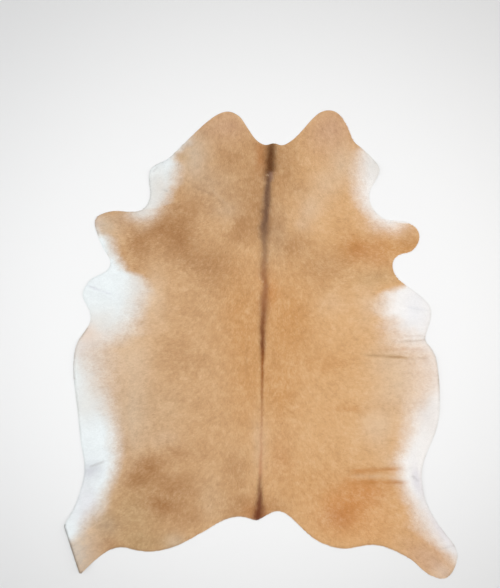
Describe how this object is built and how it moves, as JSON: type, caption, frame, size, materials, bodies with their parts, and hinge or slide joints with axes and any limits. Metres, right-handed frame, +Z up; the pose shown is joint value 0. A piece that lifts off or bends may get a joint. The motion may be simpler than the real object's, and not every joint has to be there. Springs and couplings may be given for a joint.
{
  "type": "hair-on cowhide",
  "caption": "Whole hair-on cowhide, tan with white flanks and a dark back stripe, trimmed with neck lobes and leg ends and laid flat as a floor rug.",
  "frame": {"origin": "middle of the hide's length and width, on the floor it lies on", "axes": "+Y towards the neck, +X to the right seen from above with the neck away, +Z up from the floor"},
  "size_m": [1.924, 2.294, 0.0191],
  "materials": {
    "hide": "short flat-lying hair coat over tanned skin, suede flesh side"
  },
  "bodies": {
    "root": {"hide": "hide"}
  },
  "joints": []
}
